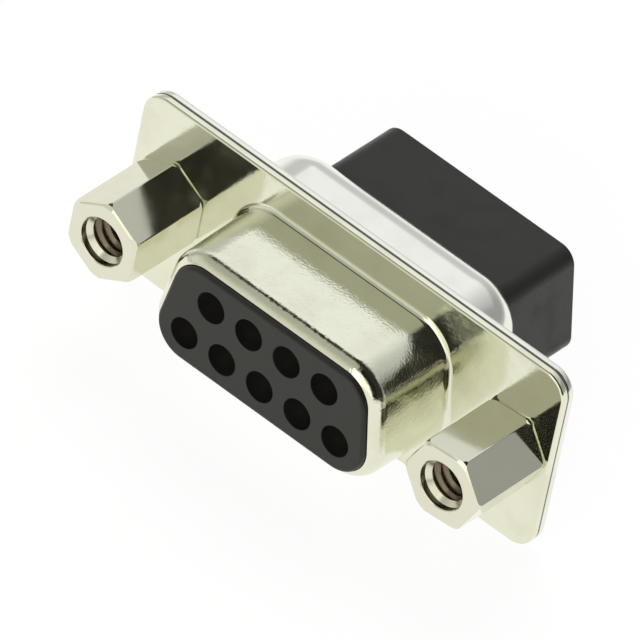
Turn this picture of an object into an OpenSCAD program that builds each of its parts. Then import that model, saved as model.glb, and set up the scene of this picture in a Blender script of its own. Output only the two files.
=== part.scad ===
// Nine-way D-sub socket connector for crimp contacts, with two hexagonal jackposts.
// Two plated steel shells clamp a front and a rear insulator between them. Nine turned
// socket contacts sit in the cavities, each held by a split retention clip.
// Millimetres. The origin is the centre of the flange's front face, +X runs along the
// flange, +Z is up and the mating face looks along -Y. The wide row of five is below.

/* [Flange] */
// Width of both flange plates
flange_w = 30.81; // [29:0.01:40]
// Height of both flange plates
flange_h = 12.5; // [11.6:0.1:18]
// Corner radius of the flange plates
flange_corner_r = 1.5; // [0.5:0.1:4]
// Sheet thickness of both shells
sheet_t = 0.5; // [0.3:0.05:0.6]
// Distance between the two fixing holes
screw_pitch = 24.99; // [24:0.01:33]
// Diameter of the fixing holes
screw_hole_d = 3.05; // [2.9:0.05:3.5]

/* [Shroud] */
// Overall width of the D-shaped shroud at its mating end
shroud_w = 16.33; // [16:0.01:20]
// Overall height of the shroud at its mating end
shroud_h = 7.9; // [7.6:0.1:9.4]
// Corner radius of the shroud
shroud_corner_r = 2.6; // [1.9:0.05:2.8]
// Depth of the shroud in front of the flange
shroud_depth = 5.92; // [5:0.01:8]
// Slope of the two short sides of every D outline
side_angle = 10; // [5:1:12]
// Draft of the shroud wall
wall_draft = 1.2; // [0:0.1:2]
// Outer radius of the rolled lip
lip_r = 1; // [0.7:0.05:1.2]
// How far the lip turns in past the wall's inner face
lip_turn_in = 0.1; // [0.05:0.01:0.2]
// Inside radius of the bend between flange and shroud
root_r = 0.35; // [0.2:0.05:0.5]

/* [Rear shell] */
// Overall width of the rear cup
cup_w = 19.28; // [19:0.01:23]
// Overall height of the rear cup
cup_h = 10.72; // [10.4:0.01:11.4]
// Corner radius of the rear cup
cup_corner_r = 3.2; // [2.8:0.1:3.6]
// Distance from the flange's front face to the back of the cup
cup_depth = 5.3; // [4.8:0.1:7]
// Outer radius of the cup's rear edge
cup_edge_r = 2.1; // [1:0.1:2.2]

/* [Insulators] */
// How far the front insulator stands out of the lip
face_stand_out = 0.33; // [0.1:0.01:0.6]
// Radius round the edge of the mating face
face_edge_r = 0.35; // [0.1:0.05:0.5]
// Overall width of the rear block
block_w = 15.56; // [15.3:0.01:18]
// Overall height of the rear block
block_h = 6.88; // [6.4:0.01:8]
// Corner radius of the rear block
block_corner_r = 1.12; // [0.6:0.01:2]
// Distance from the flange's front face to the back of the rear block
block_reach = 11.39; // [10.5:0.01:16]
// Distance from the flange's front face to the joint between the two insulators
joint_depth = 2.6; // [2:0.1:3.2]

/* [Cavities] */
// Pitch of the contacts along a row
contact_pitch = 2.77; // [2.7:0.01:3]
// Distance between the two rows
row_gap = 2.84; // [2.7:0.01:3.2]
// Diameter of the entry holes in the mating face
entry_d = 1.93; // [1.8:0.01:2]
// Diameter of the clip chambers in the front insulator
chamber_d = 2.36; // [2.3:0.01:2.5]
// Diameter of the wire cavities in the rear insulator
wire_cavity_d = 2.1; // [2.05:0.01:2.2]
// Width of the lead-in at the back of each wire cavity
cavity_lead_in = 0.16; // [0.05:0.01:0.2]

/* [Contacts] */
// Outside diameter of the socket barrel
socket_d = 1.73; // [1.6:0.01:1.8]
// Bore of the socket, which takes a one millimetre pin
socket_bore_d = 1.06; // [1.02:0.01:1.1]
// Depth of the socket bore
socket_bore_depth = 5.4; // [4:0.1:6]
// Distance of the socket's mouth behind the mating face
contact_recess = 1.9; // [1.6:0.1:2.4]
// Length of the tines in front of the shoulder
tine_len = 4.4; // [3.5:0.1:5]
// Diameter of the contact's shoulder
shoulder_d = 2.02; // [1.98:0.01:2.1]
// Length of the shoulder
shoulder_len = 0.7; // [0.5:0.1:1]
// Outside diameter of the crimp barrel
barrel_d = 1.66; // [1.5:0.01:1.75]
// Bore of the crimp barrel
barrel_bore_d = 1.14; // [1:0.01:1.2]
// Depth of the crimp barrel's bore
barrel_bore_depth = 3.8; // [3:0.1:5]
// Distance of the barrel's mouth inside the back of the rear block
barrel_recess = 2.1; // [1:0.1:4]
// Diameter of the inspection hole in the crimp barrel
inspection_d = 0.5; // [0.3:0.05:0.7]
// Width of the slots that form the socket's tines
tine_slot_w = 0.2; // [0.1:0.02:0.3]
// Chamfer at both ends of a contact
contact_chamfer = 0.12; // [0.05:0.01:0.15]

/* [Retention clips] */
// Wall of a retention clip
clip_t = 0.12; // [0.08:0.01:0.14]
// Width of the slot along a clip
clip_slot_w = 0.3; // [0.2:0.05:0.6]
// Length of a clip's straight part, behind its tines
clip_straight = 0.58; // [0.3:0.01:0.8]

/* [Jackposts] */
// Width of the hexagon across its flats
post_af = 4.7; // [4.5:0.05:5]
// Length of the hexagon in front of the flange
post_len = 5.58; // [4.5:0.01:9]
// Turn of the left hexagon about its screw
left_post_turn = 30; // [0:1:59]
// Turn of the right hexagon about its screw
right_post_turn = 5; // [0:1:59]
// Edge break along the rims of the hexagon's two ends
post_edge = 0.08; // [0.04:0.01:0.15]
// Turned chamfer that takes off the hexagon's corners at both ends
post_chamfer = 0.12; // [0.05:0.01:0.25]
// Minor diameter of the tapped hole
tap_d = 2.3; // [2.2:0.01:2.4]
// Full depth of the tapped hole
tap_depth = 4.9; // [3.5:0.1:5]
// Diameter of the plain mouth of the tapped hole
mouth_d = 3.02; // [2.9:0.01:3.2]
// Depth of the plain mouth
mouth_depth = 0.7; // [0.3:0.05:1]
// Diameter of the tail that passes through both shells
tail_d = 3; // [2.8:0.01:3]
// Diameter of the head that the tail is staked to, behind the flange
stake_d = 4.4; // [3.8:0.1:4.7]
// Height of the staked head
stake_h = 0.6; // [0.4:0.05:0.75]
// Height of the staked head at its rim
stake_rim = 0.2; // [0.1:0.05:0.3]
// Diameter of the hollow that the staking punch leaves
punch_d = 1.8; // [1.2:0.1:2.2]
// Depth of that hollow
punch_depth = 0.35; // [0.2:0.05:0.5]

/* [Hidden] */
$fn = 48;
// Clearances between pieces that fit into each other
shell_gap = 0.05;
step_gap = 0.1;
contact_gap = 0.02;
// Length by which cutting tools pass through what they cut
over = 1;
// Straight steps that each rounded corner or edge is drawn in
arc_steps = 10;
// Flat stretch of plate that is drawn together with the bend beside it
bend_lap = 0.3;
// Number of contacts in the long and in the short row
long_row = 5;
short_row = 4;
contact_count = long_row + short_row;

// Depths along the mating direction, positive in front of the flange
front_plate_back = -sheet_t;
rear_plate_back = -2 * sheet_t;
lip_inset = sheet_t + lip_turn_in;
lip_centre = shroud_depth - lip_r;
lip_edge = lip_centre + sqrt(pow(lip_r, 2) - pow(lip_r - lip_inset, 2));
face_front = lip_edge + face_stand_out;
nose_step = lip_centre - step_gap;
contact_front = face_front - contact_recess;
shoulder_front = contact_front - tine_len;
shoulder_back = shoulder_front - shoulder_len;
barrel_back = -block_reach + barrel_recess;
clip_front = shoulder_back - contact_gap;
clip_back = -joint_depth + contact_gap;
cup_inner_back = -cup_depth + sheet_t;
stake_back = rear_plate_back - stake_h;

// Radii of the sections that fit one another, measured from the D's corner centres
nose_r = shroud_corner_r - sheet_t - shell_gap;
snout_r = shroud_corner_r - lip_inset - shell_gap;
cup_inner_r = cup_corner_r - sheet_t;

// Where the bends meet the flat plates, measured the same way
shroud_bend_r = shroud_corner_r + (lip_centre - root_r) * tan(wall_draft) + root_r;
cup_bend_r = cup_corner_r + root_r;

// Corner centres of a D outline, wide side down, anticlockwise from the upper right
function d_centres(w, h, r) =
    let (low_x = w / 2 - r, z = h / 2 - r, high_x = low_x - 2 * z * tan(side_angle))
    [[high_x, z], [-high_x, z], [-low_x, -z], [low_x, -z]];

// Directions of the D's outward normals: right side, top, left side, bottom
d_normals = [side_angle, 90, 180 - side_angle, 270, 360 + side_angle];

// Centre of contact n, counted from the lower left as the mating face is seen
function contact_x(n) = n <= long_row
    ? (n - (long_row + 1) / 2) * contact_pitch
    : (n - long_row - (short_row + 1) / 2) * contact_pitch;
function contact_z(n) = n <= long_row ? -row_gap / 2 : row_gap / 2;

// Everything below is drawn with the mating direction along +Z and turned by this
module face_forward() {
    rotate([90, 0, 0]) children();
}

// Points along an arc in the plane, from one angle to another
function arc(centre, r, from, to) =
    [for (k = [0:arc_steps]) let (a = from + (to - from) * k / arc_steps)
        centre + r * [cos(a), sin(a)]];

// Outline of a D at the radius r round its corner centres, anticlockwise
function d_outline(centres, r) =
    [for (i = [0:3]) each arc(centres[i], r, d_normals[i], d_normals[i + 1])];

// Skin through a list of D rings, each [corner centres, radius, depth]. Depths rise along
// the outside. A closed loft joins its last ring to its first, and an open one has caps.
module d_loft(rings, closed) {
    n = 4 * (arc_steps + 1);
    m = len(rings);
    points = [for (ring = rings) for (p = d_outline(ring[0], ring[1])) [p[0], p[1], ring[2]]];
    skin = [for (j = [0:(closed ? m - 1 : m - 2)], i = [0:n - 1])
        let (a = j * n, b = (j + 1) % m * n, next = (i + 1) % n)
        [a + i, b + i, b + next, a + next]];
    caps = closed ? [] : [[for (i = [0:n - 1]) i], [for (i = [0:n - 1]) m * n - 1 - i]];
    polyhedron(points, concat(skin, caps));
}

// The same profile, a list of [radius, depth], carried round one D
function along_d(centres, profile) = [for (p = profile) [centres, p[0], p[1]]];

// Straight D-shaped prism between two depths
module d_prism(centres, r, back, front) {
    translate([0, 0, back]) linear_extrude(front - back) polygon(d_outline(centres, r));
}

module flange_outline() {
    x = flange_w / 2 - flange_corner_r;
    y = flange_h / 2 - flange_corner_r;
    square([flange_w, 2 * y], center = true);
    square([2 * x, flange_h], center = true);
    for (sx = [-1, 1], sy = [-1, 1]) translate([sx * x, sy * y]) circle(flange_corner_r);
}

// Flange plate with its fixing holes and a D-shaped opening, lapped by the bend's edge
module flange_plate(centres, bend_end_r, back) {
    translate([0, 0, back]) linear_extrude(sheet_t) difference() {
        flange_outline();
        polygon(d_outline(centres, bend_end_r + bend_lap / 2));
        for (side = [-1, 1]) translate([side * screw_pitch / 2, 0]) circle(d = screw_hole_d);
    }
}

shroud_centres = d_centres(shroud_w, shroud_h, shroud_corner_r);
cup_centres = d_centres(cup_w, cup_h, cup_corner_r);
block_centres = d_centres(block_w, block_h, block_corner_r);

// Section of the drawn shroud: the bend out of the flange, the drafted wall and the lip
function shroud_profile() =
    let (
        wall_r = shroud_corner_r,
        bend = [shroud_bend_r, root_r],
        lip = [wall_r - lip_r, lip_centre],
        edge_x = lip_r - lip_inset
    )
    concat(
        [[shroud_bend_r + bend_lap, front_plate_back], [shroud_bend_r + bend_lap, 0]],
        arc(bend, root_r, 270, 180),
        arc(lip, lip_r, 0, acos(edge_x / lip_r)),
        arc(lip, lip_r - sheet_t, acos(edge_x / (lip_r - sheet_t)), 0),
        arc(bend, root_r + sheet_t, 180, 270)
    );

module front_shell() {
    color("gainsboro") face_forward() {
        flange_plate(shroud_centres, shroud_bend_r, front_plate_back);
        d_loft(along_d(shroud_centres, shroud_profile()), closed = true);
    }
}

// Section of the rear cup: the bend out of its flange, the wall and the rounded rear edge.
// Its back face stops halfway in, inside the opening that is cut for the rear block.
function cup_profile() =
    let (
        bend = [cup_bend_r, rear_plate_back - root_r],
        flat_r = cup_corner_r - cup_edge_r,
        back_end_r = flat_r / 2,
        edge = [flat_r, -cup_depth + cup_edge_r]
    )
    concat(
        [[cup_bend_r + bend_lap, front_plate_back]],
        arc(bend, root_r + sheet_t, 90, 180),
        arc(edge, cup_edge_r - sheet_t, 0, -90),
        [[back_end_r, cup_inner_back], [back_end_r, -cup_depth]],
        arc(edge, cup_edge_r, -90, 0),
        arc(bend, root_r, 180, 90),
        [[cup_bend_r + bend_lap, rear_plate_back]]
    );

module rear_shell() {
    color("silver") face_forward() {
        flange_plate(cup_centres, cup_bend_r, rear_plate_back);
        difference() {
            d_loft(along_d(cup_centres, cup_profile()), closed = true);
            d_prism(block_centres, block_corner_r + shell_gap, -cup_depth - over, front_plate_back);
        }
    }
}

// One tool at the place of each contact
module at_contacts() {
    for (n = [1:contact_count]) translate([contact_x(n), contact_z(n), 0]) children();
}

// Flange, nose and snout of the front insulator, with the rounded edge of its mating face
function front_insulator_rings() = concat(
    along_d(cup_centres, [
        [cup_inner_r - shell_gap, -joint_depth],
        [cup_inner_r - shell_gap, front_plate_back]
    ]),
    along_d(shroud_centres, concat(
        [[nose_r, front_plate_back], [nose_r, nose_step], [snout_r, nose_step]],
        arc([snout_r - face_edge_r, face_front - face_edge_r], face_edge_r, 0, 90)
    ))
);

module front_insulator() {
    color("dimgray") face_forward() difference() {
        d_loft(front_insulator_rings(), closed = false);
        at_contacts() {
            translate([0, 0, shoulder_front])
                cylinder(d = entry_d, h = face_front - shoulder_front + over);
            translate([0, 0, -joint_depth - over])
                cylinder(d = chamber_d, h = joint_depth + over + shoulder_front);
        }
    }
}

// Flange of the rear insulator, which fills the back of the rear cup
function rear_flange_rings() =
    let (
        r = cup_inner_r - shell_gap,
        edge_r = cup_edge_r - sheet_t,
        back = cup_inner_back + shell_gap
    )
    along_d(cup_centres, concat(
        arc([r - edge_r, back + edge_r], edge_r, -90, 0),
        [[r, -joint_depth]]
    ));

module rear_insulator() {
    color("darkslategray") face_forward() difference() {
        union() {
            d_loft(rear_flange_rings(), closed = false);
            d_prism(block_centres, block_corner_r, -block_reach, -joint_depth - sheet_t);
        }
        at_contacts() {
            translate([0, 0, -block_reach - over])
                cylinder(d = wire_cavity_d, h = block_reach - joint_depth + 2 * over);
            translate([0, 0, -block_reach])
                cylinder(d1 = wire_cavity_d + 2 * cavity_lead_in, d2 = wire_cavity_d,
                         h = cavity_lead_in);
        }
    }
}

// Turned socket contact: tines in front, shoulder, neck and crimp barrel behind
module socket_contact() {
    edge = contact_chamfer;
    bore_back = contact_front - socket_bore_depth;
    barrel_front = barrel_back + barrel_bore_depth;
    slot_back = shoulder_front + edge;
    difference() {
        rotate_extrude() polygon([
            [0, barrel_back],
            [barrel_d / 2 - edge, barrel_back],
            [barrel_d / 2, barrel_back + edge],
            [barrel_d / 2, shoulder_back],
            [shoulder_d / 2, shoulder_back],
            [shoulder_d / 2, shoulder_front - contact_gap],
            [socket_d / 2, shoulder_front - contact_gap],
            [socket_d / 2, contact_front - edge],
            [socket_d / 2 - edge, contact_front],
            [0, contact_front]
        ]);
        translate([0, 0, bore_back]) cylinder(d = socket_bore_d, h = socket_bore_depth + over);
        translate([0, 0, contact_front - edge])
            cylinder(d1 = socket_bore_d, d2 = socket_bore_d + 2 * edge, h = edge);
        translate([-socket_d, -tine_slot_w / 2, slot_back])
            cube([2 * socket_d, tine_slot_w, contact_front - slot_back + over]);
        translate([0, 0, barrel_back - over]) cylinder(d = barrel_bore_d, h = barrel_bore_depth + over);
        translate([0, 0, barrel_front - inspection_d]) rotate([-90, 0, 0])
            cylinder(d = inspection_d, h = barrel_d);
    }
}

module contact(n) {
    color("goldenrod") face_forward()
        translate([contact_x(n), contact_z(n), 0]) socket_contact();
}

// Split sleeve whose tines close in behind the contact's shoulder
module clip_sleeve() {
    outer_r = chamber_d / 2 - contact_gap;
    tip_r = barrel_d / 2 + contact_gap;
    bend_z = clip_back + clip_straight;
    difference() {
        rotate_extrude() polygon([
            [outer_r - clip_t, clip_back],
            [outer_r, clip_back],
            [outer_r, bend_z],
            [tip_r + clip_t, clip_front],
            [tip_r, clip_front],
            [outer_r - clip_t, bend_z]
        ]);
        translate([0, -clip_slot_w / 2, clip_back - over])
            cube([chamber_d, clip_slot_w, clip_front - clip_back + 2 * over]);
        translate([-chamber_d, -clip_slot_w / 2, bend_z])
            cube([chamber_d, clip_slot_w, clip_front - bend_z + over]);
    }
}

module retention_clip(n) {
    color("peru") face_forward()
        translate([contact_x(n), contact_z(n), 0]) clip_sleeve();
}

// Hexagonal bar with broken rims and its corners taken off at both ends
module jackpost_bar(turn) {
    corner_r = post_af / 2 / cos(30);
    rim_r = (post_af / 2 - post_edge) / cos(30);
    rotate([0, 0, turn]) intersection() {
        union() {
            cylinder(r1 = rim_r, r2 = corner_r, h = post_edge, $fn = 6);
            translate([0, 0, post_edge])
                cylinder(r = corner_r, h = post_len - 2 * post_edge, $fn = 6);
            translate([0, 0, post_len - post_edge])
                cylinder(r1 = corner_r, r2 = rim_r, h = post_edge, $fn = 6);
        }
        rotate_extrude() polygon([
            [0, 0],
            [corner_r - post_chamfer, 0],
            [corner_r, post_chamfer],
            [corner_r, post_len - post_chamfer],
            [corner_r - post_chamfer, post_len],
            [0, post_len]
        ]);
    }
}

// Tail of a jackpost, staked over behind the rear plate
module staked_tail() {
    head_r = stake_d / 2;
    crown_r = head_r - (stake_h - stake_rim);
    punch_r = punch_d / 2;
    rotate_extrude() polygon([
        [0, stake_back + punch_depth],
        [punch_r - punch_depth, stake_back + punch_depth],
        [punch_r, stake_back],
        [crown_r, stake_back],
        [head_r, rear_plate_back - stake_rim],
        [head_r, rear_plate_back],
        [tail_d / 2, rear_plate_back],
        [tail_d / 2, post_edge],
        [0, post_edge]
    ]);
}

// Jackpost: hexagon with a tapped hole in front and a tail staked behind the flange
module jackpost(side, turn) {
    cone_h = (mouth_d - tap_d) / 2;
    color("lightgray") face_forward() translate([side * screw_pitch / 2, 0, 0]) {
        difference() {
            jackpost_bar(turn);
            translate([0, 0, post_len - tap_depth]) cylinder(d = tap_d, h = tap_depth + over);
            translate([0, 0, post_len - mouth_depth]) cylinder(d = mouth_d, h = mouth_depth + over);
            translate([0, 0, post_len - mouth_depth - cone_h])
                cylinder(d1 = tap_d, d2 = mouth_d, h = cone_h);
        }
        staked_tail();
    }
}

front_shell();
rear_shell();
front_insulator();
rear_insulator();
for (n = [1:contact_count]) {
    contact(n);
    retention_clip(n);
}
jackpost(-1, left_post_turn);  // jackpost_left
jackpost(1, right_post_turn);  // jackpost_right
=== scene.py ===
"""Nine-way D-sub socket connector: detailed pieces, their finishes and a pale studio.

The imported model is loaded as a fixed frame. Both drawn shells, both insulators and both
jackposts are modelled again with finer sections, rounded edges and real thread turns.
Contacts and clips keep their own solids and get their plating.
"""

import logging
import math
from dataclasses import dataclass
from enum import Enum
from typing import Callable, Sequence

import bmesh
import bpy
from mathutils import Matrix, Vector


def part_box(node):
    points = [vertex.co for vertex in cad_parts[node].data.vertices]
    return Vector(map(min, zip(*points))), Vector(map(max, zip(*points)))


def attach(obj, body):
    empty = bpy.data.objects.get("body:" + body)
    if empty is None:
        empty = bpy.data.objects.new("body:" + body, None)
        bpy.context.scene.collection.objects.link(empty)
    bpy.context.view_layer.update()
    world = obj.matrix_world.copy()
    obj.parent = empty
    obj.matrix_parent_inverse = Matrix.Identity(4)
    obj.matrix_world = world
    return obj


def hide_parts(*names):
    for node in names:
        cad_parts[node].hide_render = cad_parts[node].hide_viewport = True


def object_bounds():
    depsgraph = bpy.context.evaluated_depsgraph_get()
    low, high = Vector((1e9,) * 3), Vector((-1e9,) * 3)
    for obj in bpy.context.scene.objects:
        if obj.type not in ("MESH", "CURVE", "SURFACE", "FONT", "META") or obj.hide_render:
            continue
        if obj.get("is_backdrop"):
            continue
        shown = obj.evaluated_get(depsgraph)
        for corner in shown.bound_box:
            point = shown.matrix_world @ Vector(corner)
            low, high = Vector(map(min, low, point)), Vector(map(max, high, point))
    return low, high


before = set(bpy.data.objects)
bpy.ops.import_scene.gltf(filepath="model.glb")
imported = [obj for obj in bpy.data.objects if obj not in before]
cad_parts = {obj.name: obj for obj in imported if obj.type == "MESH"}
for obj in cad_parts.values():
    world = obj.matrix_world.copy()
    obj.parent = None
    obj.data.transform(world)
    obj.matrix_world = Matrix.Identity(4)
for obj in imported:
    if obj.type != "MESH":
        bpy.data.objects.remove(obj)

LOG = logging.getLogger("connector")
MM = 0.001
BUMP_DEPTH = 0.00001     # metres of relief at full bump strength
COLLAR = 0.12            # flat ring drawn round a root bend, from which the plate is filled
RING_STEPS = 90          # steps of a ring that is spread round a D shape
BORE_STEPS = 48          # steps round a small hole
POST_STEPS = 64          # steps round a jackpost's turned surfaces
Point = tuple[float, float]
Colour = tuple[float, float, float]
Material = bpy.types.Material
Object = bpy.types.Object
Socket = bpy.types.NodeSocket


class Pick(Enum):
    """Which kind of mesh part is selected in edit mode."""

    VERT = "VERT"
    EDGE = "EDGE"
    FACE = "FACE"


class Side(Enum):
    """The two ends of the flange."""

    LEFT = "left"
    RIGHT = "right"


@dataclass(frozen=True)
class CadBox:
    """The box of a CAD node at rest, in millimetres."""

    low: Vector
    high: Vector

    @classmethod
    def of(cls, node: str) -> "CadBox":
        """Reads the box of one CAD node.

        Args:
            node: the node's name.

        Returns:
            The node's box in millimetres.
        """
        low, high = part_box(node)
        return cls(low / MM, high / MM)

    @property
    def size(self) -> Vector:
        """Lengths of the box along X, Y and Z."""
        return self.high - self.low

    @property
    def middle(self) -> Vector:
        """Centre of the box."""
        return (self.high + self.low) / 2


@dataclass(frozen=True)
class DShape:
    """A D outline: overall width and height, corner radius and slope of the short sides."""

    width: float
    height: float
    corner_r: float
    slope: float = 10.0

    def corners(self) -> list[Point]:
        """Corner centres as (x, z), from the upper right one, anticlockwise.

        Returns:
            The four centres.
        """
        low_x = self.width / 2 - self.corner_r
        z = self.height / 2 - self.corner_r
        high_x = low_x - 2 * z * math.tan(math.radians(self.slope))
        return [(high_x, z), (-high_x, z), (-low_x, -z), (low_x, -z)]

    def bounds(self) -> list[float]:
        """Directions in degrees at which one corner's quarter gives way to the next."""
        return [self.slope, 90.0, 180.0 - self.slope, 270.0]


class Draft:
    """One mesh drawn in millimetres: a pen in the XY plane, then turned about the Y axis."""

    def __init__(self, name: str) -> None:
        """Starts with a plane merged to the one point that the pen then draws from.

        Args:
            name: name of the new object.
        """
        leave_edit_mode()
        bpy.ops.object.select_all(action="DESELECT")
        bpy.ops.mesh.primitive_plane_add(size=1.0, location=(0.0, 0.0, 0.0))
        self.obj = bpy.context.object
        self.obj.name = name
        self.obj.data.name = name
        self.edit()
        bpy.ops.mesh.select_all(action="SELECT")
        bpy.ops.mesh.merge(type="CENTER")
        self.pen: Point = (0.0, 0.0)
        self.start: Point = (0.0, 0.0)

    def edit(self) -> None:
        """Makes this mesh the only one being edited."""
        leave_edit_mode()
        bpy.ops.object.select_all(action="DESELECT")
        self.obj.select_set(True)
        bpy.context.view_layer.objects.active = self.obj
        bpy.ops.object.mode_set(mode="EDIT")
        bpy.ops.mesh.select_mode(type="VERT")

    def begin(self, x: float, y: float) -> "Draft":
        """Puts the pen at the first point of the section.

        Args:
            x: distance from the Y axis.
            y: depth.

        Returns:
            The draft itself.
        """
        bpy.ops.transform.translate(value=(x, y, 0.0))
        self.pen = self.start = (x, y)
        return self

    def line(self, *points: Point) -> "Draft":
        """Draws straight lines.

        Args:
            points: where they go, one after another.

        Returns:
            The draft itself.
        """
        for x, y in points:
            step = (x - self.pen[0], y - self.pen[1], 0.0)
            bpy.ops.mesh.extrude_vertices_move(TRANSFORM_OT_translate={"value": step})
            self.pen = (x, y)
        return self

    def arc(self, centre: Point, sweep: float, steps: int) -> "Draft":
        """Draws an arc round a centre.

        Args:
            centre: centre of the arc.
            sweep: angle in degrees, anticlockwise as seen from +Z.
            steps: straight steps in it.

        Returns:
            The draft itself.
        """
        bpy.ops.mesh.spin(steps=steps, angle=-math.radians(sweep),
                          center=(centre[0], centre[1], 0.0), axis=(0.0, 0.0, 1.0))
        c, s = math.cos(math.radians(sweep)), math.sin(math.radians(sweep))
        dx, dy = self.pen[0] - centre[0], self.pen[1] - centre[1]
        self.pen = (centre[0] + c * dx - s * dy, centre[1] + s * dx + c * dy)
        return self

    def close(self) -> "Draft":
        """Joins the pen's point back to the first one."""
        self.line(self.start)
        return self.merge_doubles()

    def merge_doubles(self) -> "Draft":
        """Merges points that lie on one another.

        Returns:
            The draft itself.
        """
        bpy.ops.mesh.select_all(action="SELECT")
        bpy.ops.mesh.remove_doubles(threshold=1e-4)
        return self

    def turn(self, steps: int) -> "Draft":
        """Turns the section once round the Y axis.

        Args:
            steps: number of steps in the ring.

        Returns:
            The draft itself.
        """
        bpy.ops.mesh.select_all(action="SELECT")
        bpy.ops.mesh.spin(steps=steps, angle=2 * math.pi,
                          center=(0.0, 0.0, 0.0), axis=(0.0, 1.0, 0.0))
        return self.merge_doubles()

    def pick(self, kind: Pick, test: Callable[[object], bool]) -> int:
        """Selects the parts that pass a test and nothing else.

        Args:
            kind: verts, edges or faces.
            test: says whether a part is wanted.

        Returns:
            How many parts are selected.
        """
        bpy.ops.mesh.select_mode(type=kind.value)
        bpy.ops.mesh.select_all(action="DESELECT")
        mesh = bmesh.from_edit_mesh(self.obj.data)
        parts = {Pick.VERT: mesh.verts, Pick.EDGE: mesh.edges, Pick.FACE: mesh.faces}[kind]
        wanted = [part for part in parts if test(part)]
        for part in wanted:
            part.select_set(True)
        mesh.select_flush_mode()
        bmesh.update_edit_mesh(self.obj.data)
        return len(wanted)

    def spread(self, corners: Sequence[Point], bounds: Sequence[float]) -> "Draft":
        """Moves the four quarters of a turned ring out to the corners of a shape.

        Args:
            corners: where each quarter's axis goes, as (x, z).
            bounds: direction in degrees at which each quarter starts.

        Returns:
            The draft itself.
        """
        mesh = bmesh.from_edit_mesh(self.obj.data)
        quarter: dict[int, int] = {}
        for vert in mesh.verts:
            angle = (math.degrees(math.atan2(vert.co.z, vert.co.x)) - bounds[0]) % 360
            quarter[vert.index] = sum(angle >= b - bounds[0] for b in bounds[1:])
        for number, (x, z) in enumerate(corners):
            self.pick(Pick.VERT, lambda vert: quarter[vert.index] == number)
            bpy.ops.transform.translate(value=(x, 0.0, z))
        return self

    def around(self, shape: DShape) -> "Draft":
        """Turns the section and spreads the ring round a D shape."""
        return self.turn(RING_STEPS).spread(shape.corners(), shape.bounds())

    def fill_flat(self, y: float) -> "Draft":
        """Fills the open loops that lie at one depth, round the holes among them.

        Args:
            y: the depth.

        Returns:
            The draft itself.
        """
        self.pick(Pick.EDGE, lambda edge: len(edge.link_faces) == 1
                  and all(abs(vert.co.y - y) < 1e-4 for vert in edge.verts))
        bpy.ops.mesh.fill(use_beauty=True)
        return self

    def outwards(self) -> "Draft":
        """Makes every face of a closed mesh point outwards.

        Returns:
            The draft itself.
        """
        self.merge_doubles()
        bpy.ops.mesh.normals_make_consistent(inside=False)
        return self

    def absorb(self, *others: "Draft") -> "Draft":
        """Joins other drafts into this one, which stays in edit mode.

        Args:
            others: the drafts, which are used up.

        Returns:
            The draft itself.
        """
        leave_edit_mode()
        bpy.ops.object.select_all(action="DESELECT")
        for other in (*others, self):
            other.obj.select_set(True)
        bpy.context.view_layer.objects.active = self.obj
        bpy.ops.object.join()
        self.edit()
        return self.merge_doubles()

    def shift(self, x: float, y: float, z: float) -> "Draft":
        """Moves the whole mesh.

        Args:
            x: how far along X, in millimetres.
            y: along Y.
            z: along Z.

        Returns:
            The draft itself.
        """
        bpy.ops.mesh.select_all(action="SELECT")
        bpy.ops.transform.translate(value=(x, y, z))
        return self

    def rotate(self, axis: int, degrees: float) -> "Draft":
        """Turns the whole mesh about an axis through the origin and applies the turn.

        Args:
            axis: 0, 1 or 2 for X, Y or Z.
            degrees: the turn.

        Returns:
            The draft itself.
        """
        leave_edit_mode()
        self.obj.rotation_euler[axis] = math.radians(degrees)
        bpy.ops.object.transform_apply(location=False, rotation=True, scale=False)
        self.edit()
        return self

    def copy(self, name: str) -> "Draft":
        """Copies this draft, with a mesh of its own.

        Args:
            name: name of the copy.

        Returns:
            The copy, in edit mode.
        """
        leave_edit_mode()
        bpy.ops.object.select_all(action="DESELECT")
        self.obj.select_set(True)
        bpy.context.view_layer.objects.active = self.obj
        bpy.ops.object.duplicate(linked=False)
        twin = object.__new__(Draft)
        twin.obj = bpy.context.object
        twin.obj.name = name
        twin.obj.data.name = name
        twin.pen = twin.start = (0.0, 0.0)
        twin.edit()
        return twin

    def combine(self, tool: "Draft", operation: str) -> "Draft":
        """Applies a Boolean with another draft, which is used up.

        Args:
            tool: the other solid.
            operation: DIFFERENCE, INTERSECT or UNION.

        Returns:
            The draft itself.
        """
        self.edit()
        leave_edit_mode()
        modifier = self.obj.modifiers.new("combine", "BOOLEAN")
        modifier.operation = operation
        modifier.solver = "EXACT"
        modifier.object = tool.obj
        bpy.ops.object.modifier_apply(modifier=modifier.name)
        bpy.data.objects.remove(tool.obj)
        self.edit()
        return self

    def screw(self, pitch: float, turns: int, steps: int) -> "Draft":
        """Carries the closed section along a helix round the Y axis and caps its two ends.

        Args:
            pitch: rise of one turn.
            turns: number of turns.
            steps: steps in one turn.

        Returns:
            The closed draft.
        """
        leave_edit_mode()
        modifier = self.obj.modifiers.new("screw", "SCREW")
        modifier.axis = "Y"
        modifier.screw_offset = pitch
        modifier.iterations = turns
        modifier.steps = modifier.render_steps = steps
        bpy.ops.object.modifier_apply(modifier=modifier.name)
        self.edit()
        bpy.ops.mesh.select_all(action="SELECT")
        bpy.ops.mesh.fill_holes(sides=0)
        return self.outwards()


def leave_edit_mode() -> None:
    """Goes back to object mode if a mesh is being edited."""
    if bpy.context.object is not None and bpy.context.object.mode != "OBJECT":
        bpy.ops.object.mode_set(mode="OBJECT")


# ----------------------------------------------------------------------------- materials


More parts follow.
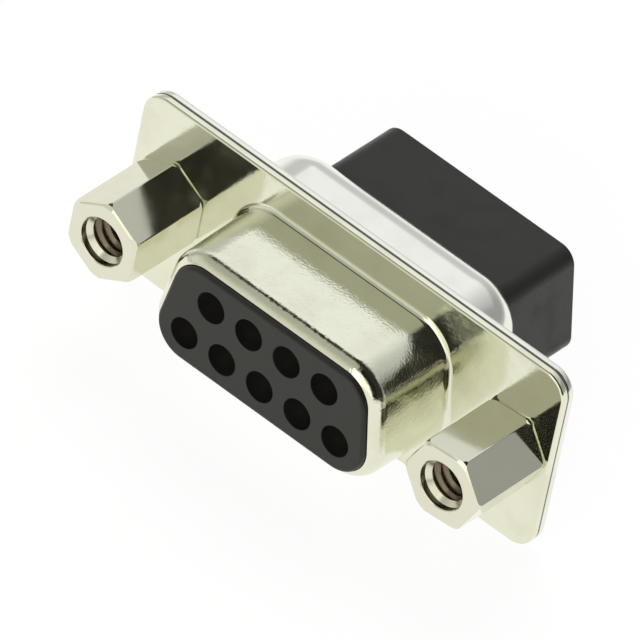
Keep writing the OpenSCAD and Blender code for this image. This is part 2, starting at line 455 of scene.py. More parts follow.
class Graph:
    """A node tree that is filled call by call."""

    def __init__(self, tree: bpy.types.NodeTree) -> None:
        """Empties a tree and starts on it."""
        self.tree = tree
        tree.nodes.clear()

    def node(self, kind: str, **values: object) -> bpy.types.Node:
        """Adds a node; names that are no property are taken as its input sockets.

        Args:
            kind: Blender's name for the node.
            values: properties or input values. An input may be another node's output, an
                underscore stands for a space, and i0, i1 and so on are inputs by number.

        Returns:
            The new node.
        """
        node = self.tree.nodes.new(kind)
        known = node.bl_rna.properties
        for key, value in sorted(values.items(), key=lambda item: item[0] not in known):
            if key in known:
                setattr(node, key, value)
                continue
            numbered = key[0] == "i" and key[1:].isdigit()
            socket = node.inputs[int(key[1:]) if numbered else key.replace("_", " ")]
            if isinstance(value, Socket):
                self.tree.links.new(value, socket)
            else:
                socket.default_value = value
        return node

    def math(self, operation: str, *terms: object, clamp: bool = False) -> Socket:
        """Adds a Math node and returns its output."""
        return self.node("ShaderNodeMath", operation=operation, use_clamp=clamp,
                         **{f"i{n}": term for n, term in enumerate(terms)}).outputs[0]

    def add(self, one: object, other: object) -> Socket:
        """Adds two values."""
        return self.math("ADD", one, other)

    def sub(self, one: object, other: object) -> Socket:
        """Takes the second value from the first."""
        return self.math("SUBTRACT", one, other)

    def mul(self, one: object, other: object) -> Socket:
        """Multiplies two values."""
        return self.math("MULTIPLY", one, other)

    def ramp(self, value: object, low: float, high: float,
             to_low: float = 0.0, to_high: float = 1.0) -> Socket:
        """Maps a value smoothly from one range to another."""
        return self.node("ShaderNodeMapRange", interpolation_type="SMOOTHSTEP", Value=value,
                         From_Min=low, From_Max=high, To_Min=to_low, To_Max=to_high).outputs[0]

    def blend(self, share: object, one: object, other: object) -> Socket:
        """Mixes two colours, each a constant or a socket."""
        one, other = (rgba(c) if isinstance(c, tuple) else c for c in (one, other))
        return self.node("ShaderNodeMix", data_type="RGBA", i0=share, i6=one,
                         i7=other).outputs[2]

    def noise(self, vector: object, scale: object, detail: float,
              roughness: float = 0.55) -> Socket:
        """Adds a Noise texture and returns its factor."""
        return self.node("ShaderNodeTexNoise", Vector=vector, Scale=scale, Detail=detail,
                         Roughness=roughness).outputs["Fac"]

    def coords(self, kind: str = "Object") -> Socket:
        """Adds coordinates of one kind."""
        return self.node("ShaderNodeTexCoord").outputs[kind]

    def axes(self, vector: object) -> Sequence[Socket]:
        """Splits a vector into X, Y and Z."""
        return self.node("ShaderNodeSeparateXYZ", Vector=vector).outputs[:]

    def bump(self, strength: float, height: object) -> Socket:
        """Turns a height into a normal."""
        return self.node("ShaderNodeBump", Strength=strength, Distance=BUMP_DEPTH,
                         Height=height).outputs[0]

    def principled(self, **values: object) -> None:
        """Ends a material's tree with a Principled surface."""
        surface = self.node("ShaderNodeBsdfPrincipled", **values)
        self.node("ShaderNodeOutputMaterial", Surface=surface.outputs[0])


def rgba(colour: Colour) -> tuple[float, float, float, float]:
    """A colour with full alpha."""
    return (*colour, 1.0)


def new_material(name: str) -> tuple[Material, Graph]:
    """Makes a material with an empty node tree.

    Args:
        name: the material's name.

    Returns:
        The material and the graph of its tree.
    """
    made = bpy.data.materials.new(name)
    made.use_nodes = True
    return made, Graph(made.node_tree)


def new_group(name: str, outputs: Sequence[str],
              **inputs: float) -> tuple[Graph, Sequence[Socket]]:
    """Starts a shader group that takes a vector and some numbers and gives numbers.

    Args:
        name: the group's name.
        outputs: names of its outputs.
        inputs: its number inputs and their defaults; an underscore stands for a space.

    Returns:
        The group's graph, and what comes in: the vector, then the numbers.
    """
    graph = Graph(bpy.data.node_groups.new(name, "ShaderNodeTree"))
    sockets = graph.tree.interface
    sockets.new_socket("Vector", in_out="INPUT", socket_type="NodeSocketVector")
    for label, value in inputs.items():
        sockets.new_socket(label.replace("_", " "), in_out="INPUT",
                           socket_type="NodeSocketFloat").default_value = value
    for label in outputs:
        sockets.new_socket(label, in_out="OUTPUT", socket_type="NodeSocketFloat")
    return graph, graph.node("NodeGroupInput").outputs[:len(inputs) + 1]


class Effects:
    """Shader groups that several finishes share."""

    def __init__(self) -> None:
        """Builds each group once."""
        self.pebble = self.build_pebble()
        self.handling = self.build_handling()
        self.turned = self.build_turned()

    @staticmethod
    def build_pebble() -> bpy.types.NodeTree:
        """Fine pebbled skin over slow waves, as plated sheet has.

        Returns:
            A group with a height and a speckle output.
        """
        graph, (vector, fine, slow, share) = new_group(
            "pebbled_skin", ["Height", "Speckle"], Grain=14000.0, Waves=500.0, Wave_Share=0.6)
        grain = graph.noise(vector, fine, 2.0)
        waves = graph.noise(vector, slow, 1.0)
        height = graph.add(graph.mul(waves, share), graph.mul(grain, graph.sub(1.0, share)))
        graph.node("NodeGroupOutput", Height=height, Speckle=graph.ramp(grain, 0.35, 0.65))
        return graph.tree

    @staticmethod
    def build_handling() -> bpy.types.NodeTree:
        """Soft smudges and a few hair scratches.

        Returns:
            A group with a smudge and a scratch mask.
        """
        graph, (vector, wide, fine) = new_group(
            "handling_marks", ["Smudge", "Scratch"], Smudge_Scale=350.0, Scratch_Scale=900.0)
        smudge = graph.ramp(graph.noise(vector, wide, 4.0, 0.6), 0.42, 0.68)
        stretched = graph.node("ShaderNodeMapping", Vector=vector,
                               Scale=(0.12, 0.35, 1.0), Rotation=(0.3, 0.9, 0.2))
        cells = graph.node("ShaderNodeTexVoronoi", feature="DISTANCE_TO_EDGE",
                           Vector=stretched.outputs[0], Scale=fine)
        hair = graph.ramp(cells.outputs["Distance"], 0.0, 0.018, 1.0, 0.0)
        patch = graph.ramp(graph.noise(vector, 700.0, 2.0), 0.52, 0.66)
        graph.node("NodeGroupOutput", Smudge=smudge, Scratch=graph.mul(hair, patch))
        return graph.tree

    @staticmethod
    def build_turned() -> bpy.types.NodeTree:
        """Rings that a cutting tool leaves round an axis along Y.

        Returns:
            A group with the rings' height and the distance from the axis in metres.
        """
        graph, (vector, axis_x, pitch) = new_group(
            "turned_rings", ["Height", "Radius"], Axis_X=0.0, Pitch=0.00006)
        x, _, z = graph.axes(vector)
        x = graph.sub(x, axis_x)
        radius = graph.math("SQRT", graph.add(graph.mul(x, x), graph.mul(z, z)))
        wobble = graph.mul(graph.noise(vector, 1200.0, 2.0), 5.0)
        rings = graph.math("SINE", graph.add(graph.math("DIVIDE", radius, pitch), wobble))
        graph.node("NodeGroupOutput", Height=rings, Radius=radius)
        return graph.tree


@dataclass(frozen=True)
class MetalFinish:
    """A plated or bare metal surface, with painted shade in the seam between the two plates."""

    name: str
    colour: Colour
    shade: Colour
    roughness: float
    grain: float = 14000.0
    waves: float = 500.0
    wave_share: float = 0.6
    bump: float = 0.06
    smudge: float = 0.08
    scratch: float = 0.15
    drawn_gain: float = 1.0
    seam_y: float = 0.0005
    # colour of the painted shade in the seam between the plates
    seam_shade: Colour = (0.05, 0.05, 0.04)

    def material(self, effects: Effects) -> Material:
        """Builds the finish.

        Args:
            effects: the shared shader groups.

        Returns:
            The new material.
        """
        made, graph = new_material(self.name)
        place = graph.coords()
        skin = graph.node("ShaderNodeGroup", node_tree=effects.pebble, Vector=place,
                          Grain=self.grain, Waves=self.waves, Wave_Share=self.wave_share)
        marks = graph.node("ShaderNodeGroup", node_tree=effects.handling, Vector=place)
        smudge, scratch = marks.outputs[:]
        depth = graph.axes(place)[1]
        tone = graph.blend(graph.mul(smudge, 0.6), self.colour, self.shade)
        seam = graph.math("ABSOLUTE", graph.sub(depth, self.seam_y))
        # painted shade: the colour darkens towards the seam colour in a thin band round the seam
        # between the plates
        tone = graph.blend(graph.ramp(seam, 0.00003, 0.00008, 0.85, 0.0), tone, self.seam_shade)
        rough = graph.add(self.roughness, graph.mul(smudge, self.smudge))
        rough = graph.add(rough, graph.mul(scratch, self.scratch))
        drawn = graph.ramp(depth, -0.0014, -0.0002, self.drawn_gain, 1.0)
        relief = graph.bump(self.bump, graph.mul(skin.outputs["Height"], drawn))
        graph.principled(Base_Color=tone, Metallic=1.0, Roughness=rough, Normal=relief)
        return made


@dataclass(frozen=True)
class TurnedFinish:
    """A turned and plated part whose tapped hole about one axis along Y is brownish and darkened
    with painted shade.
    """

    name: str
    axis_x: float
    colour: Colour
    bore_tone_and_shade: Colour
    roughness: float
    bore_radius: float
    bore_depth: float

    def material(self, effects: Effects) -> Material:
        """Builds the finish.

        Args:
            effects: the shared shader groups.

        Returns:
            The new material.
        """
        made, graph = new_material(self.name)
        place = graph.coords()
        rings = graph.node("ShaderNodeGroup", node_tree=effects.turned, Vector=place,
                           Axis_X=self.axis_x)
        marks = graph.node("ShaderNodeGroup", node_tree=effects.handling, Vector=place)
        depth = graph.axes(place)[1]
        # painted shade: inside the tapped hole the colour turns to the darker, brownish bore
        # colour
        inside = graph.ramp(rings.outputs["Radius"], self.bore_radius,
                            self.bore_radius + 0.00005, 1.0, 0.0)
        inside = graph.mul(inside, graph.ramp(depth, self.bore_depth - 0.0002, self.bore_depth))
        inside = graph.mul(inside, graph.ramp(depth, 0.0002, 0.0005, 1.0, 0.0))
        normal = graph.node("ShaderNodeNewGeometry").outputs["Normal"]
        along = graph.math("ABSOLUTE", graph.axes(normal)[1])
        on_face = graph.ramp(along, 0.9, 0.99)
        on_rim = graph.mul(graph.ramp(along, 0.45, 0.6), graph.ramp(along, 0.8, 0.9, 1.0, 0.0))
        rough = graph.add(self.roughness, graph.mul(marks.outputs["Smudge"], 0.05))
        rough = graph.add(rough, graph.mul(inside, 0.04))
        rough = graph.add(rough, graph.mul(on_rim, 0.1))
        skin = graph.mul(graph.noise(place, 9000.0, 2.0), 0.5)
        cut = graph.mul(graph.mul(rings.outputs["Height"], on_face), 0.25)
        graph.principled(Base_Color=graph.blend(inside, self.colour, self.bore_tone_and_shade),
                         Metallic=1.0, Roughness=rough,
                         Normal=graph.bump(0.05, graph.add(skin, cut)))
        return made


@dataclass(frozen=True)
class MouldedFinish:
    """Glass-filled moulded plastic with a fine satin skin, and a painted highlight on the walls
    inside its holes.
    """

    name: str
    colour: Colour
    bloom: Colour
    # inner: lighter colour, a painted highlight laid on the hole walls behind the face
    inner: Colour
    roughness: float

    def material(self, effects: Effects) -> Material:
        """Builds the finish.

        Args:
            effects: the shared shader groups.

        Returns:
            The new material.
        """
        made, graph = new_material(self.name)
        place = graph.coords()
        skin = graph.node("ShaderNodeGroup", node_tree=effects.pebble, Vector=place,
                          Grain=22000.0, Waves=1500.0, Wave_Share=0.3)
        marks = graph.node("ShaderNodeGroup", node_tree=effects.handling, Vector=place,
                           Smudge_Scale=600.0)
        cloudy = graph.mul(marks.outputs["Smudge"], 0.45)
        flecks = graph.mul(skin.outputs["Speckle"], 0.18)
        tone = graph.blend(graph.math("ADD", cloudy, flecks, clamp=True),
                           self.colour, self.bloom)
        depth = graph.axes(place)[1]
        # painted highlight: behind the face, chiefly on the hole walls, the colour turns to the
        # lighter inner colour
        inner = graph.mul(graph.ramp(depth, -0.0060, -0.0054),
                          graph.ramp(depth, 0.0004, 0.0008, 1.0, 0.0))
        rough = graph.add(self.roughness, graph.mul(marks.outputs["Smudge"], 0.12))
        graph.principled(Base_Color=graph.blend(inner, tone, self.inner), Roughness=rough,
                         Specular_IOR_Level=0.38,
                         Normal=graph.bump(0.25, skin.outputs["Height"]))
        return made


# -------------------------------------------------------------------------------- pieces


class Piece:
    """Base of the sub-assemblies: finishing a draft and fitting it into the frame."""

    @staticmethod
    def settle(draft: Draft, node: str, slot: str, material: Material,
               smooth_angle: float = 32.0) -> Object:
        """Brings a draft to metres, smooths it and puts it in place of its CAD node.

        Args:
            draft: the finished mesh, in millimetres.
            node: the CAD node that it stands for.
            slot: name of a material slot; not used.
            material: its finish.
            smooth_angle: faces that meet at less than this many degrees look smooth.

        Returns:
            The finished piece.
        """
        draft.edit()
        bpy.ops.mesh.select_all(action="SELECT")
        bpy.ops.mesh.dissolve_limited(angle_limit=math.radians(0.3))
        leave_edit_mode()
        piece = draft.obj
        piece.scale = (MM, MM, MM)
        bpy.ops.object.transform_apply(location=True, rotation=True, scale=True)
        bpy.ops.object.shade_smooth_by_angle(angle=math.radians(smooth_angle))
        weighting = piece.modifiers.new("weighting", "WEIGHTED_NORMAL")
        weighting.mode = "FACE_AREA"
        weighting.keep_sharp = True
        weighting.weight = 60
        bpy.ops.object.modifier_apply(modifier=weighting.name)
        piece.data.materials.clear()
        piece.data.materials.append(material)
        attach(piece, "root")
        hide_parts(node)
        report(piece, node)
        return piece


def report(piece: Object, node: str) -> None:
    """Logs a piece's size, its distance from the CAD box and any open edges.

    Args:
        piece: the finished piece.
        node: the CAD node that it stands for.
    """
    places = [vert.co / MM for vert in piece.data.vertices]
    low, high = (Vector([end(place[n] for place in places) for n in range(3)])
                 for end in (min, max))
    cad = CadBox.of(node)
    off = max(abs(gap) for gap in (*(low - cad.low), *(high - cad.high)))
    mesh = bmesh.new()
    mesh.from_mesh(piece.data)
    loose = sum(len(edge.link_faces) != 2 for edge in mesh.edges)
    volume = mesh.calc_volume(signed=True) * 1e9
    mesh.free()
    LOG.info("%s: %d faces, %.1f mm3, box off by %.3f mm, %d open edges",
             piece.name, len(piece.data.polygons), volume, off, loose)


@dataclass
class StampedPlate:
    """A flange plate's rim and its two fixing holes, which both shells share."""

    width: float
    height: float
    corner_r: float
    hole_r: float
    hole_pitch: float
    front_y: float
    back_y: float
    front_edge_r: float
    back_edge_r: float

    def bands(self, name: str) -> list[Draft]:
        """Draws the rim and the walls of both holes, open at the two faces.

        Args:
            name: start of the drafts' names.

        Returns:
            The three drafts.
        """
        f, b = self.front_edge_r, self.back_edge_r
        rim = Draft(name + "_rim").begin(self.corner_r - f, self.front_y)
        rim.arc((self.corner_r - f, self.front_y + f), 90.0, 4)
        rim.line((self.corner_r, self.back_y - b))
        rim.arc((self.corner_r - b, self.back_y - b), 90.0, 4)
        rim.turn(72).rotate(1, 2.5)          # half a step, so that no quarter splits a point
        outline = DShape(self.width, self.height, self.corner_r, 0.0)
        rim.spread(outline.corners(), [0.0, 90.0, 180.0, 270.0])
        hole = Draft(name + "_hole").begin(self.hole_r + f, self.front_y)
        hole.arc((self.hole_r + f, self.front_y + f), -90.0, 3)
        hole.line((self.hole_r, self.back_y - b))
        hole.arc((self.hole_r + b, self.back_y - b), -90.0, 3)
        hole.turn(BORE_STEPS)
        other = hole.copy(name + "_other_hole").shift(-self.hole_pitch / 2, 0.0, 0.0)
        hole.edit()
        hole.shift(self.hole_pitch / 2, 0.0, 0.0)
        return [rim, hole, other]


@dataclass
class FrontShell(Piece):
    """The drawn front shell: flange plate, root bend, drafted D wall and rolled lip."""

    material: Material
    outline: DShape = DShape(16.33, 7.9, 2.6)
    sheet: float = 0.5
    draft_angle: float = 1.2
    lip_r: float = 1.0
    lip_inset: float = 0.6
    root_r: float = 0.35
    corner_r: float = 1.5
    hole_r: float = 1.525
    depth: float = 5.92

    def build(self) -> Object:
        """Models the shell.

        Returns:
            The finished piece.
        """
        cad = CadBox.of("front_shell")
        left, right = CadBox.of("jackpost_left").middle.x, CadBox.of("jackpost_right").middle.x
        plate = StampedPlate(cad.size.x, cad.size.z, self.corner_r, self.hole_r, right - left,
                             0.0, self.sheet, 0.14, 0.12)
        bands = plate.bands("front_shell")
        wall_r, t = self.outline.corner_r, self.sheet
        lip_y, root_y = self.lip_r - self.depth, -self.root_r
        root_wall_r = wall_r + (root_y - lip_y) * math.tan(math.radians(self.draft_angle))
        bend_r = root_wall_r + self.root_r
        lip_x = wall_r - self.lip_r
        outer_turn = math.degrees(math.acos((self.lip_r - self.lip_inset) / self.lip_r))
        inner_turn = math.degrees(math.acos((self.lip_r - self.lip_inset) / (self.lip_r - t)))
        shell = Draft("front_shell_detail").begin(bend_r + COLLAR, 0.0).line((bend_r, 0.0))
        shell.arc((bend_r, root_y), 90.0, 8)
        shell.line((wall_r, lip_y))
        shell.arc((lip_x, lip_y), -outer_turn, 14)
        tip_x, tip_y = shell.pen
        shell.line((tip_x - 0.012, tip_y + 0.05))
        inner_tip = (lip_x + (self.lip_r - t) * math.cos(math.radians(inner_turn)),
                     lip_y - (self.lip_r - t) * math.sin(math.radians(inner_turn)))
        shell.line(inner_tip).arc((lip_x, lip_y), inner_turn, 8)
        shell.line((root_wall_r - t, root_y))
        shell.arc((bend_r, root_y), -90.0, 8)
        shell.line((bend_r + COLLAR, t))
        shell.around(self.outline).absorb(*bands).fill_flat(0.0).fill_flat(t).outwards()
        return self.settle(shell, "front_shell", "front_shell_nickel", self.material)


@dataclass
class RearShell(Piece):
    """The rear shell: flange plate and a cup with a large rear edge and a D opening."""

    material: Material
    outline: DShape = DShape(19.28, 10.72, 3.2)
    opening: DShape = DShape(15.66, 6.98, 1.17)
    sheet: float = 0.5
    root_r: float = 0.35
    edge_r: float = 2.1
    back_y: float = 5.3
    corner_r: float = 1.5
    hole_r: float = 1.525

    def skin(self, name: str, flat_y: float, inset: float, root_r: float,
             back_y: float) -> Draft:
        """Draws one skin of the cup, from the plate to the middle of its back.

        Args:
            name: the draft's name.
            flat_y: depth of the plate's face on this skin.
            inset: distance of this skin inside the outer one.
            root_r: radius of its root bend.
            back_y: depth of the cup's back on this skin.

        Returns:
            The turned and spread skin, with its back filled.
        """
        wall_r = self.outline.corner_r - inset
        bend_r = wall_r + root_r
        edge_r = self.edge_r - inset
        edge_x = wall_r - edge_r
        skin = Draft(name).begin(bend_r + COLLAR, flat_y).line((bend_r, flat_y))
        skin.arc((bend_r, flat_y + root_r), -90.0, 8)
        skin.line((wall_r, back_y - edge_r))
        skin.arc((edge_x, back_y - edge_r), 90.0, 16)
        return skin.around(self.outline).fill_flat(back_y)

    def build(self) -> Object:
        """Models the shell.

        Returns:
            The finished piece.
        """
        cad = CadBox.of("rear_shell")
        left, right = CadBox.of("jackpost_left").middle.x, CadBox.of("jackpost_right").middle.x
        front_y, plate_y = cad.low.y, cad.low.y + self.sheet
        plate = StampedPlate(cad.size.x, cad.size.z, self.corner_r, self.hole_r, right - left,
                             front_y, plate_y, 0.12, 0.16)
        bands = plate.bands("rear_shell")
        outer = self.skin("rear_shell_detail", plate_y, 0.0, self.root_r, self.back_y)
        inner = self.skin("rear_shell_inner", front_y, self.sheet, self.root_r + self.sheet,
                          self.back_y - self.sheet)
        outer.absorb(inner, *bands).fill_flat(front_y).fill_flat(plate_y).outwards()
        r, start_y, end_y = self.opening.corner_r, self.back_y - 2.0, self.back_y + 1.0
        tool = Draft("rear_opening").begin(r, start_y).line((r, end_y)).around(self.opening)
        outer.combine(tool.fill_flat(start_y).fill_flat(end_y).outwards(), "DIFFERENCE")
        return self.settle(outer, "rear_shell", "rear_shell_tin", self.material)


@dataclass
class Insulators(Piece):
    """The front insulator with its nine entry holes and the rear one with its wire cavities."""

    material: Material
    shroud: DShape = DShape(16.33, 7.9, 2.6)
    cup: DShape = DShape(19.28, 10.72, 3.2)
    block: DShape = DShape(15.56, 6.88, 1.12)
    snout_r: float = 1.95
    nose_r: float = 2.05
    flange_r: float = 2.65
    face_edge_r: float = 0.22
    step_y: float = -4.82
    shoulder_y: float = 0.1335
    entry_r: float = 0.965
    chamber_r: float = 1.18
    cavity_r: float = 1.05
    lead_in: float = 0.16
    rear_edge_r: float = 1.6
    rear_depth: float = 4.25
    block_edge_r: float = 0.06

    def bores(self, bore: Draft) -> list[Draft]:
        """Copies one bore to the place of each contact.

        Args:
            bore: a bore about the Y axis, which is used up.

        Returns:
            Nine bores.
        """
        middles = [CadBox.of(f"contact_{n}").middle for n in range(1, 10)]
        copies = [bore.copy(f"{bore.obj.name}_{n}").shift(middle.x, 0.0, middle.z)
                  for n, middle in enumerate(middles)]
        bpy.data.objects.remove(bore.obj)
        return copies

    def front(self) -> Object:
        """Models the front insulator.

        Returns:
            The finished piece.
        """
        cad = CadBox.of("front_insulator")
        face_y, flange_y, back_y = cad.low.y, CadBox.of("front_shell").high.y, cad.high.y
        body = Draft("front_insulator_detail").begin(self.snout_r - self.face_edge_r, face_y)
        body.arc((self.snout_r - self.face_edge_r, face_y + self.face_edge_r), 90.0, 8)
        body.line((self.snout_r, self.step_y), (self.nose_r, self.step_y),
                  (self.nose_r, flange_y))
        body.around(self.shroud)
        flange = Draft("front_insulator_flange").begin(self.flange_r, flange_y)
        flange.line((self.flange_r, back_y))
        flange.around(self.cup)
        crisp = 0.02
        bore = Draft("entry").begin(self.entry_r + crisp, face_y)
        bore.line((self.entry_r, face_y + crisp), (self.entry_r, self.shoulder_y),
                  (self.chamber_r, self.shoulder_y), (self.chamber_r, back_y))
        bore.turn(BORE_STEPS)
        body.absorb(flange, *self.bores(bore))
        body.fill_flat(face_y).fill_flat(flange_y).fill_flat(back_y).outwards()
        return self.settle(body, "front_insulator", "insulator_black", self.material)

    def rear(self) -> Object:
        """Models the rear insulator.

        Returns:
            The finished piece.
        """
        cad = CadBox.of("rear_insulator")
        front_y, back_y = cad.low.y, cad.high.y
        flat_y = CadBox.of("front_shell").high.y + self.rear_depth
        flange = Draft("rear_insulator_detail").begin(self.flange_r, front_y)
        flange.line((self.flange_r, flat_y - self.rear_edge_r))
        flange.arc((self.flange_r - self.rear_edge_r, flat_y - self.rear_edge_r), 90.0, 8)
        flange.around(self.cup).fill_flat(front_y).fill_flat(flat_y).outwards()
        r, edge, root_y = self.block.corner_r, self.block_edge_r, front_y + 0.4
        block = Draft("rear_block").begin(r, root_y).line((r, back_y - edge))
        block.arc((r - edge, back_y - edge), 90.0, 3)
        block.around(self.block).fill_flat(root_y).fill_flat(back_y).outwards()
        flange.combine(block, "UNION")
        mouth_r, start_y, end_y = self.cavity_r + self.lead_in, front_y - 1.0, back_y + 1.0
        bore = Draft("cavity").begin(self.cavity_r, start_y)
        bore.line((self.cavity_r, back_y - self.lead_in), (mouth_r, back_y), (mouth_r, end_y))
        bore.turn(BORE_STEPS).fill_flat(start_y).fill_flat(end_y).outwards()
        first, *others = self.bores(bore)
        flange.combine(first.absorb(*others), "DIFFERENCE")
        return self.settle(flange, "rear_insulator", "insulator_black", self.material)


@dataclass(frozen=True)
class Hexagon:
    """A hexagonal bar: width across its flats, turn about its axis and broken edges."""

    across_flats: float
    turn: float
    chamfer: float = 0.3
    rim: float = 0.09
    arris: float = 0.07

    @staticmethod
    def to_corner(flat: float) -> float:
        """Length along a corner's radius of a length square to a flat."""
        return flat / math.cos(math.pi / 6)

    def bar(self, name: str, front_y: float, back_y: float) -> Draft:
        """Draws the bar with slightly broken long edges and end rims.

        Args:
            name: the draft's name.
            front_y: depth of its front.
            back_y: depth of its back.

        Returns:
            The closed bar.
        """
        r, rim = self.to_corner(self.across_flats / 2), self.rim
        end_r = r - self.to_corner(rim)
        bar = Draft(name).begin(end_r, front_y)
        bar.line((r, front_y + rim), (r, back_y - rim), (end_r, back_y))
        bar.turn(6).fill_flat(front_y).fill_flat(back_y).outwards()
        bar.pick(Pick.EDGE, lambda edge: abs(edge.verts[0].co.y - edge.verts[1].co.y) > 1.0)
        bpy.ops.mesh.bevel(offset=self.arris, segments=2, affect="EDGES")
        return bar.rotate(1, -self.turn)

    def ends(self, front_y: float, back_y: float) -> list[Point]:
        """Outer points of the turned blank that takes the corners off.

        Args:
            front_y: depth of the bar's front.
            back_y: depth of its back.

        Returns:
            The points from front to back. The first and last stand proud of the bar's ends.
        """
        r, c = self.to_corner(self.across_flats / 2), self.chamfer
        return [(r - 2.6 * c, front_y - c), (r - 0.3 * c, front_y + 0.45 * c),
                (r, front_y + 1.3 * c), (r, back_y - 1.3 * c),
                (r - 0.3 * c, back_y - 0.45 * c), (r - 2.6 * c, back_y + c)]


@dataclass(frozen=True)
class Thread:
    """A fine inch thread: pitch, major and minor radius."""

    pitch: float = 0.635
    major_r: float = 1.42
    minor_r: float = 1.15

    def ridge(self, name: str, start_y: float, turns: int) -> Draft:
        """Draws the helical ridge that stands inside a bore.

        Args:
            name: the draft's name.
            start_y: depth at which the ridge starts.
            turns: number of turns.

        Returns:
            The closed ridge.
        """
        foot, crest = self.major_r + 0.03, self.minor_r
        shoulder = crest + (foot - crest) * 0.16
        w = self.pitch * 0.92
        ridge = Draft(name).begin(foot, start_y)
        ridge.line((shoulder, start_y + 0.34 * w), (crest, start_y + 0.43 * w),
                   (crest, start_y + 0.57 * w), (shoulder, start_y + 0.66 * w),
                   (foot, start_y + w))
        return ridge.close().screw(self.pitch, turns, BORE_STEPS)


@dataclass
class Jackpost(Piece):
    """One end's hexagonal post with its tapped hole and its staked tail."""

    side: Side
    turn: float
    material: Material
    flats: float = 4.7
    mouth_r: float = 1.51
    mouth_depth: float = 0.7
    hole_depth: float = 4.9
    tail_r: float = 1.5
    head_r: float = 2.2
    head_rim: float = 0.2
    punch_r: float = 0.9
    punch_depth: float = 0.35
    thread: Thread = Thread()

    def body(self, node: str, front_y: float) -> Draft:
        """Draws the hexagon with its mouth and its bore.

        Args:
            node: the CAD node's name.
            front_y: depth of the post's front.

        Returns:
            The closed bar.
        """
        hexagon = Hexagon(self.flats, self.turn)
        bore_r, floor_y = self.thread.major_r + 0.01, front_y + self.hole_depth
        mouth_y = front_y + self.mouth_depth
        blank = Draft(node + "_blank").begin(0.0, floor_y + 0.3)
        outer = hexagon.ends(front_y, 0.0)
        proud = front_y - outer[0][1]
        land_r, edge = self.thread.minor_r + 0.06, 0.05
        blank.line((bore_r, floor_y), (bore_r, mouth_y + 0.22), (land_r, mouth_y + 0.12),
                   (land_r, mouth_y), (self.mouth_r - 0.02, mouth_y - 0.28),
                   (self.mouth_r, front_y + edge), (self.mouth_r + edge + proud, front_y - proud),
                   *outer, (0.0, proud))
        blank.turn(POST_STEPS).outwards()
        bar = hexagon.bar(node + "_detail", front_y, 0.0).combine(blank, "INTERSECT")
        return bar.outwards()

    def tail(self, node: str, plate_y: float, back_y: float) -> Draft:
        """Draws the tail through both plates, with its rolled head and punch mark.

        Args:
            node: the CAD node's name.
            plate_y: depth of the rear plate's back.
            back_y: depth of the head's crown.

        Returns:
            The closed tail.
        """
        roll = back_y - plate_y - self.head_rim
        mark = self.punch_r - self.punch_depth
        tail = Draft(node + "_tail").begin(0.0, -0.3).line((self.tail_r, -0.3))
        tail.line((self.tail_r, plate_y), (self.head_r - 0.03, plate_y),
                  (self.head_r, plate_y + 0.03), (self.head_r, plate_y + self.head_rim))
        tail.arc((self.head_r - roll, plate_y + self.head_rim), 90.0, 8)
        tail.line((self.punch_r + 0.08, back_y), (self.punch_r, back_y - 0.04),
                  (mark + 0.06, back_y - self.punch_depth + 0.04),
                  (mark, back_y - self.punch_depth), (0.0, back_y - self.punch_depth))
        return tail.turn(POST_STEPS).outwards()

    def build(self) -> Object:
        """Models the post.

        Returns:
            The finished piece.
        """
        node = f"jackpost_{self.side.value}"
        cad = CadBox.of(node)
        post = self.body(node, cad.low.y)
        tapping = self.thread.ridge(node + "_tapping", cad.low.y + self.mouth_depth + 0.1, 6)
        tail = self.tail(node, CadBox.of("rear_shell").low.y + 0.5, cad.high.y)
        post.absorb(tapping, tail)
        post.shift(cad.middle.x, 0.0, 0.0)
        return self.settle(post, node, "jackpost_nickel", self.material, smooth_angle=20.0)


@dataclass
class ContactSet:
    """The contacts and retention clips, which keep their own solids."""

    gold: Material
    copper: Material

    def dress(self) -> None:
        """Gives each contact and clip its finish."""
        for name, node in sorted(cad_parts.items()):
            finish = {"contact": self.gold, "retention": self.copper}.get(name.split("_")[0])
            if finish is not None:
                node.data.materials.clear()
                node.data.materials.append(finish)
                LOG.info("%s: dressed with %s", name, finish.name)


# -------------------------------------------------------------------------------- studio


@dataclass(frozen=True)
class Lamp:
    """A soft square lamp that looks at the object and shows in no reflection."""

    name: str
    place: tuple[float, float, float]
    size: float
    power: float

    def hang(self) -> None:
        """Puts the lamp into the scene."""
        data = bpy.data.lights.new(self.name, "AREA")
        data.shape = "SQUARE"
        data.size = self.size
        data.energy = self.power
        lamp = bpy.data.objects.new(self.name, data)
        bpy.context.scene.collection.objects.link(lamp)
        place = Vector(self.place)
        turn = place.to_track_quat("Z", "Y").to_matrix().to_4x4()
        lamp.matrix_world = Matrix.Translation(place) @ turn
        lamp.visible_glossy = False
        lamp.visible_camera = False


